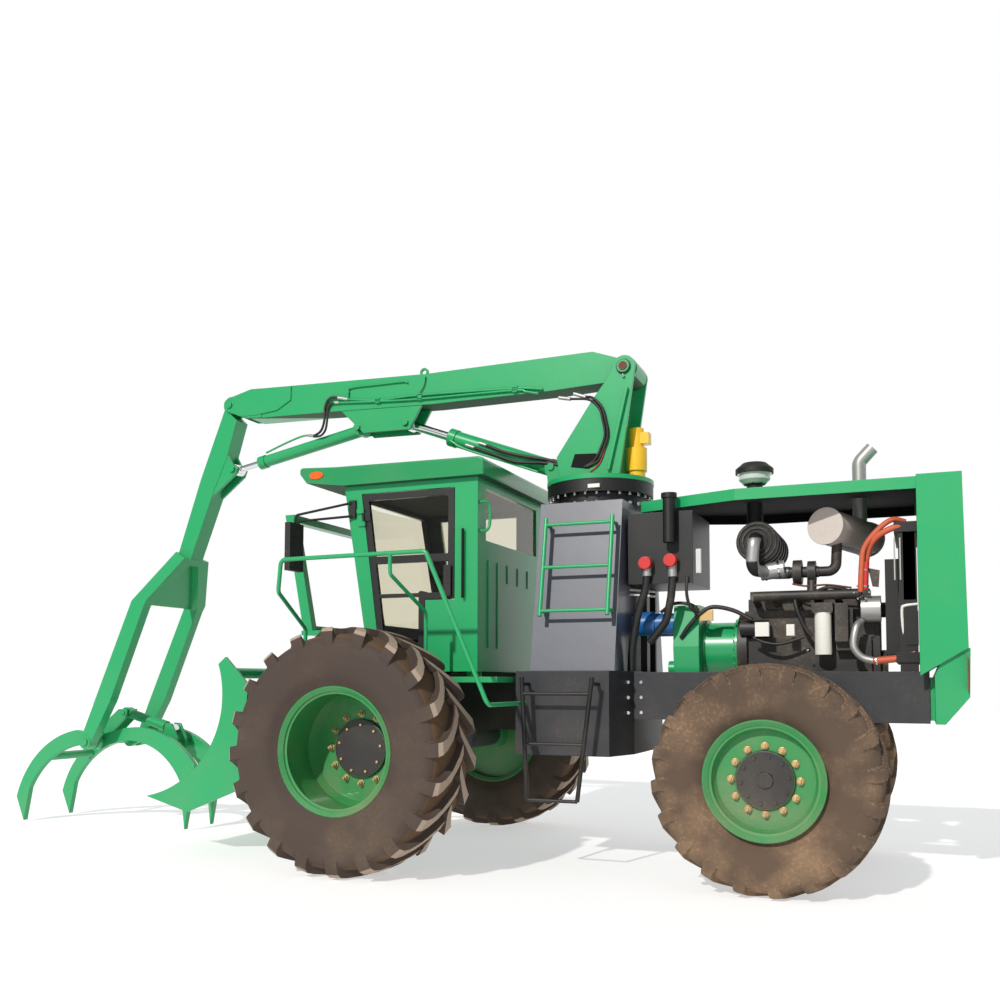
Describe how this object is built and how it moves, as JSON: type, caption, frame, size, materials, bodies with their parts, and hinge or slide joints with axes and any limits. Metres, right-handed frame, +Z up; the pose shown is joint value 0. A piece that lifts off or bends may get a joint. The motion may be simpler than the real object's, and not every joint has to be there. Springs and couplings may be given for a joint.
{
  "type": "sugarcane loader",
  "caption": "Self-propelled sugarcane loader with a slewing crane, a grab, a push piler, a cab and steered rear wheels",
  "frame": {"origin": "middle of the machine's length and width, on the ground", "axes": "+X towards the engine end, +Y towards the machine's right side, +Z up"},
  "size_m": [8.583, 3.461, 4.125],
  "materials": {
    "green_paint": "gloss",
    "roof_paint": "gloss",
    "tower_grey": "satin",
    "frame_grey": "satin",
    "black_paint": "satin",
    "yellow_paint": "gloss",
    "rim_paint": "gloss",
    "tyre_rubber": "matte",
    "matte_black": "matte",
    "clear_glass": "clear",
    "chrome_rod": "polished",
    "engine_iron": "satin",
    "muffler_grey": "satin",
    "seat_fabric": "matte"
  },
  "bodies": {
    "chassis": {"air_cleaner": "matte_black", "cab_glass": "clear_glass", "cab_roof": "roof_paint", "cab_shell": "green_paint", "console": "matte_black", "deck": "green_paint", "engine": "engine_iron", "exhaust": "muffler_grey", "front_axle": "frame_grey", "front_frame": "frame_grey", "front_guard": "green_paint", "hood": "green_paint", "ladder": "black_paint", "mirror": "matte_black", "pedestal": "tower_grey", "pump_drive": "green_paint", "radiator": "matte_black", "rear_axle": "frame_grey", "rear_body": "green_paint", "rear_frame": "frame_grey", "seat": "seat_fabric", "tank": "black_paint"},
    "wheel_front_left": {"rim_front_left": "rim_paint", "tyre_front_left": "tyre_rubber"},
    "wheel_front_right": {"rim_front_right": "rim_paint", "tyre_front_right": "tyre_rubber"},
    "wheel_rear_left": {"rim_rear_left": "rim_paint", "tyre_rear_left": "tyre_rubber"},
    "wheel_rear_right": {"rim_rear_right": "rim_paint", "tyre_rear_right": "tyre_rubber"},
    "knuckle_left": {"knuckle_left": "frame_grey"},
    "knuckle_right": {"knuckle_right": "frame_grey"},
    "door": {"cab_door": "black_paint", "door_glass": "clear_glass"},
    "crane_column": {"column": "green_paint", "slew_motor": "yellow_paint"},
    "boom": {"boom": "green_paint"},
    "stick": {"stick": "green_paint"},
    "lift_barrel": {"lift_barrel": "green_paint"},
    "lift_rod": {"lift_rod": "chrome_rod"},
    "dipper_barrel": {"dipper_barrel": "green_paint"},
    "dipper_rod": {"dipper_rod": "chrome_rod"},
    "grab_front": {"grab_front": "green_paint"},
    "grab_rear": {"grab_rear": "green_paint"},
    "grab_barrel": {"grab_barrel": "green_paint"},
    "grab_rod": {"grab_rod": "chrome_rod"},
    "piler": {"piler": "green_paint"},
    "piler_barrels": {"piler_barrels": "green_paint"},
    "piler_rods": {"piler_rods": "chrome_rod"}
  },
  "joints": [
    {"name": "wheel_front_left_spin", "type": "hinge", "parent": "chassis", "child": "wheel_front_left", "pos_m": [0.1735, -1.424, 0.885], "axis": [0, 1, 0], "continuous": true},
    {"name": "wheel_front_right_spin", "type": "hinge", "parent": "chassis", "child": "wheel_front_right", "pos_m": [0.1735, 1.424, 0.885], "axis": [0, 1, 0], "continuous": true},
    {"name": "steer_left", "type": "hinge", "parent": "chassis", "child": "knuckle_left", "pos_m": [3.0535, -0.69, 0.75], "axis": [0, 0, 1], "range_deg": [-25, 25]},
    {"name": "steer_right", "type": "hinge", "parent": "chassis", "child": "knuckle_right", "pos_m": [3.0535, 0.69, 0.75], "axis": [0, 0, 1], "range_deg": [-26, 26]},
    {"name": "wheel_rear_left_spin", "type": "hinge", "parent": "knuckle_left", "child": "wheel_rear_left", "pos_m": [3.0535, -0.995, 0.75], "axis": [0, 1, 0], "continuous": true},
    {"name": "wheel_rear_right_spin", "type": "hinge", "parent": "knuckle_right", "child": "wheel_rear_right", "pos_m": [3.0535, 0.995, 0.75], "axis": [0, 1, 0], "continuous": true},
    {"name": "door_swing", "type": "hinge", "parent": "chassis", "child": "door", "pos_m": [-0.0775, -0.738, 2.1975], "axis": [0.135, 0, -0.9909], "range_deg": [0, 58]},
    {"name": "slew", "type": "hinge", "parent": "chassis", "child": "crane_column", "pos_m": [1.6235, 0, 2.8453], "axis": [0, 0, 1], "range_deg": [-110, 110]},
    {"name": "luff", "type": "hinge", "parent": "crane_column", "child": "boom", "pos_m": [1.8795, 0, 3.858], "axis": [0, 1, 0], "range_deg": [-6, 30]},
    {"name": "lift_cylinder_pivot", "type": "hinge", "parent": "crane_column", "child": "lift_barrel", "pos_m": [1.2335, 0, 3.131], "axis": [0, 1, 0], "range_deg": [-8, 34]},
    {"name": "lift_cylinder_stroke", "type": "slide", "parent": "lift_barrel", "child": "lift_rod", "axis": [-0.9371, 0, 0.349], "range_m": [-0.105, 0.505]},
    {"name": "stick_swing", "type": "hinge", "parent": "boom", "child": "stick", "pos_m": [-1.9705, 0, 3.977], "axis": [0, 1, 0], "range_deg": [-7, 45]},
    {"name": "dipper_cylinder_pivot", "type": "hinge", "parent": "boom", "child": "dipper_barrel", "pos_m": [-0.5865, 0, 3.63], "axis": [0, 1, 0], "range_deg": [-2, 8]},
    {"name": "dipper_cylinder_stroke", "type": "slide", "parent": "dipper_barrel", "child": "dipper_rod", "axis": [-0.9822, 0, -0.1878], "range_m": [-0.075, 0.435]},
    {"name": "grab_swing", "type": "hinge", "parent": "stick", "child": "grab_rear", "pos_m": [-3.3265, 0, 0.8], "axis": [0, 1, 0], "range_deg": [-2, 44]},
    {"name": "grab_front_swing", "type": "hinge", "parent": "stick", "child": "grab_front", "pos_m": [-3.3265, 0, 0.8], "axis": [0, 1, 0], "range_deg": [-45, 3]},
    {"name": "grab_cylinder_pivot", "type": "hinge", "parent": "grab_front", "child": "grab_barrel", "pos_m": [-3.1965, 0, 1.07], "axis": [0, 1, 0], "range_deg": [-4, 78]},
    {"name": "grab_cylinder_stroke", "type": "slide", "parent": "grab_barrel", "child": "grab_rod", "axis": [0.9648, 0, -0.2631], "range_m": [-0.025, 0.41]},
    {"name": "piler_swing", "type": "hinge", "parent": "chassis", "child": "piler", "pos_m": [-0.4465, 0, 0.7], "axis": [0, 1, 0], "range_deg": [-12, 25]},
    {"name": "piler_cylinder_pivot", "type": "hinge", "parent": "chassis", "child": "piler_barrels", "pos_m": [-0.4465, 0, 1.18], "axis": [0, 1, 0], "range_deg": [-9, 18]},
    {"name": "piler_cylinder_stroke", "type": "slide", "parent": "piler_barrels", "child": "piler_rods", "axis": [-0.8563, 0, -0.5165], "range_m": [-0.195, 0.095]}
  ],
  "couplings": [
    {"joint": "steer_right", "follows": "steer_left", "ratio": 1},
    {"joint": "lift_cylinder_pivot", "follows": "luff", "ratio": 1.0859},
    {"joint": "lift_cylinder_stroke", "follows": "luff", "m_per_rad": 0.9512},
    {"joint": "dipper_cylinder_pivot", "follows": "stick_swing", "ratio": 0.1537},
    {"joint": "dipper_cylinder_stroke", "follows": "stick_swing", "m_per_rad": 0.54743},
    {"joint": "grab_front_swing", "follows": "grab_swing", "ratio": -1},
    {"joint": "grab_cylinder_pivot", "follows": "grab_swing", "ratio": 1.7408},
    {"joint": "grab_cylinder_stroke", "follows": "grab_swing", "m_per_rad": 0.52712},
    {"joint": "piler_cylinder_pivot", "follows": "piler_swing", "ratio": 0.68912},
    {"joint": "piler_cylinder_stroke", "follows": "piler_swing", "m_per_rad": -0.43013}
  ]
}
